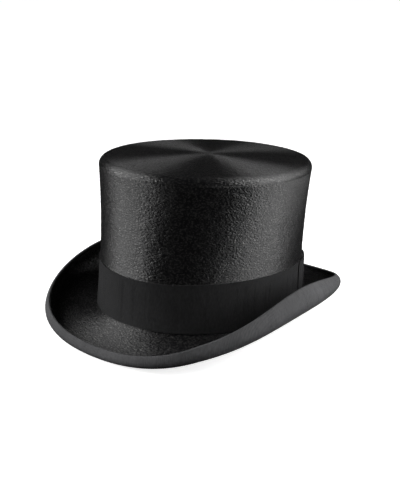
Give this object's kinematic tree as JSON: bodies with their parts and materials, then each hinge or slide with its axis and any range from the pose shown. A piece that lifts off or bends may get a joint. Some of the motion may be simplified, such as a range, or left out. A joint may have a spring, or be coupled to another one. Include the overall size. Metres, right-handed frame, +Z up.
{
  "type": "top hat",
  "caption": "Formal black plush top hat with a slightly waisted crown, rolled ribbon-bound brim, ribbed hat band with a side bow, leather sweatband and satin lining.",
  "frame": {"origin": "on the floor the hat stands on, under the middle of its box", "axes": "+Z up, -Y the front of the hat, +X the wearer's left"},
  "size_m": [0.2392, 0.2965, 0.1519],
  "materials": {
    "stiff_body": "shellac-stiffened cotton foundation, dull brown",
    "crown_plush": "long-haired black plush brushed round the crown, silky sheen",
    "tip_plush": "long-haired black plush brushed in a swirl, silky sheen",
    "brim_plush": "black plush, short and dense",
    "underbrim_cloth": "fine dark wool cloth",
    "binding_grosgrain": "ribbed grosgrain ribbon, soft sheen",
    "band_grosgrain": "matte ribbed ribbon",
    "leather": "brown roan leather, semi-matte grain",
    "reed": "springy pale cord",
    "cotton_tape": "black cotton tape",
    "narrow_ribbon": "narrow black ribbon",
    "pad_wadding": "soft cotton wadding",
    "satin": "ivory satin",
    "satin_piping": "ivory satin piping",
    "card": "blank matte card",
    "leather_thread": "brown waxed thread",
    "dark_thread": "black thread"
  },
  "bodies": {
    "root": {"side_crown_body": "stiff_body", "crown_tip_body": "stiff_body", "brim_body": "stiff_body", "side_crown_plush": "crown_plush", "crown_tip_plush": "tip_plush", "brim_top_plush": "brim_plush", "underbrim_cloth": "underbrim_cloth", "brim_binding": "binding_grosgrain", "hat_band": "band_grosgrain", "bow_front_loop": "band_grosgrain", "bow_rear_loop": "band_grosgrain", "bow_knot": "band_grosgrain", "sweatband": "leather", "sweatband_reed": "reed", "sweatband_reed_tape": "cotton_tape", "sweatband_back_seam": "leather", "sweatband_bow_left_loop": "narrow_ribbon", "sweatband_bow_right_loop": "narrow_ribbon", "sweatband_bow_knot": "narrow_ribbon", "forehead_pad": "pad_wadding", "lining_side": "satin", "lining_tip": "satin", "lining_piping": "satin_piping", "size_ticket": "card", "sweatband_stitches": "leather_thread", "binding_stitches": "dark_thread", "band_tack_stitches": "dark_thread"}
  },
  "joints": []
}
